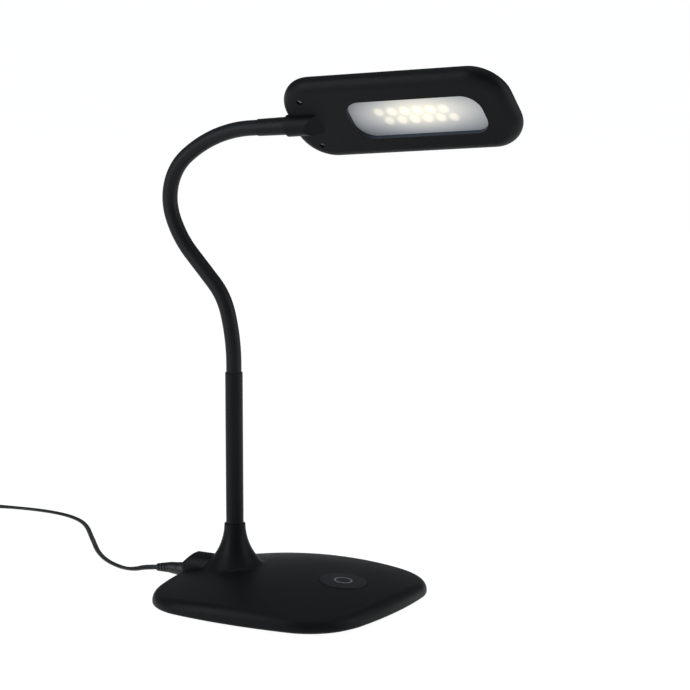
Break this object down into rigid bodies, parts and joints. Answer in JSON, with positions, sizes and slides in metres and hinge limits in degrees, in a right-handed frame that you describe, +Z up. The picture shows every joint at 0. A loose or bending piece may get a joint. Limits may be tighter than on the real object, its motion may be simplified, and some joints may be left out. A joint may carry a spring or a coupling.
{
  "type": "desk lamp",
  "caption": "Gooseneck desk lamp with a rounded square weighted base, a push button, a bendable neck, a swivelling flat light head and a plug-in power lead.",
  "frame": {"origin": "centre of the foam pad's resting face, on the table under the middle of the base", "axes": "+X from the neck over the button to the light head, +Z up, +Y across the base to the right seen from the head's end"},
  "size_m": [0.689, 0.2469, 0.4348],
  "materials": {
    "black_shell": "fine satin texture",
    "black_button": "satin, a little smoother than the shell",
    "grey_ring": "satin",
    "black_cover": "matt",
    "foam": "matt closed-cell foam",
    "black_tube": "satin paint",
    "sleeve": "smooth matt rubber",
    "link_steel": "turned",
    "plated_steel": "zinc plated",
    "weight_steel": "mill finish",
    "frosted": "frosted, lit from behind",
    "led_glow": "lit warm white",
    "board_white": "white coated",
    "board_green": "coated circuit board",
    "black_parts": "moulded",
    "lead_skin": "smooth flexible plastic",
    "tape": "adhesive",
    "nickel": "nickel plated",
    "adapter_case": "fine spark texture",
    "washer_nylon": "natural"
  },
  "bodies": {
    "base": {"adapter_body": "adapter_case", "adapter_pins": "nickel", "adapter_relief": "lead_skin", "base_cover": "black_cover", "base_lead": "lead_skin", "base_shell": "black_shell", "base_weight": "weight_steel", "board_parts": "black_parts", "cord_coil": "lead_skin", "cord_lead": "lead_skin", "cord_tail": "lead_skin", "cover_screws": "plated_steel", "foam_pad": "foam", "neck_link_1": "link_steel", "neck_nut": "plated_steel", "neck_sleeve_1": "sleeve", "neck_stud": "plated_steel", "neck_tube": "black_tube", "neck_washer": "plated_steel", "plug_barrel": "nickel", "plug_body": "lead_skin", "plug_relief": "lead_skin", "power_board": "board_green", "power_socket": "black_parts", "switch_board": "board_green", "switch_body": "black_parts", "switch_lead": "lead_skin", "switch_screws": "plated_steel", "weight_tape": "tape"},
    "neck_2": {"neck_link_2": "link_steel", "neck_sleeve_2": "sleeve"},
    "neck_3": {"neck_link_3": "link_steel", "neck_sleeve_3": "sleeve"},
    "neck_4": {"neck_link_4": "link_steel", "neck_sleeve_4": "sleeve"},
    "neck_5": {"neck_link_5": "link_steel", "neck_sleeve_5": "sleeve"},
    "neck_6": {"neck_link_6": "link_steel", "neck_sleeve_6": "sleeve", "ferrule": "black_tube", "retaining_clip": "plated_steel", "swivel_washer": "washer_nylon"},
    "head": {"head_lower_shell": "black_shell", "head_upper_shell": "black_shell", "diffuser": "frosted", "led_board": "board_white", "led_packages": "led_glow", "board_screws": "plated_steel", "head_screws": "plated_steel", "head_lead": "lead_skin"},
    "button": {"button_cap": "black_button", "button_ring": "grey_ring", "switch_plunger": "black_parts"}
  },
  "joints": [
    {"name": "neck_bend_1", "type": "hinge", "parent": "base", "child": "neck_2", "pos_m": [-0.05288, 0, 0.20456], "axis": [0, 1, 0], "range_deg": [-30, 25]},
    {"name": "neck_swing_1", "type": "hinge", "parent": "neck_2", "child": "neck_3", "pos_m": [-0.06834, 0, 0.24923], "axis": [0.7635, 0, 0.6458], "range_deg": [-25, 25]},
    {"name": "neck_bend_2", "type": "hinge", "parent": "neck_3", "child": "neck_4", "pos_m": [-0.10024, 0, 0.28501], "axis": [0, 1, 0], "range_deg": [-30, 25]},
    {"name": "neck_swing_2", "type": "hinge", "parent": "neck_4", "child": "neck_5", "pos_m": [-0.10882, 0, 0.33052], "axis": [0.951, 0, -0.3091], "range_deg": [-25, 25]},
    {"name": "neck_bend_3", "type": "hinge", "parent": "neck_5", "child": "neck_6", "pos_m": [-0.07608, 0, 0.36395], "axis": [0, 1, 0], "range_deg": [-30, 25]},
    {"name": "head_roll", "type": "hinge", "parent": "neck_6", "child": "head", "pos_m": [0.00001, 0, 0.38017], "axis": [0.9947, 0, 0.1028], "range_deg": [-38, 142]},
    {"name": "button_press", "type": "slide", "parent": "base", "child": "button", "axis": [-0.1036, 0, -0.9946], "range_m": [0, 0.0006], "stiffness_N_per_m": 2500}
  ]
}
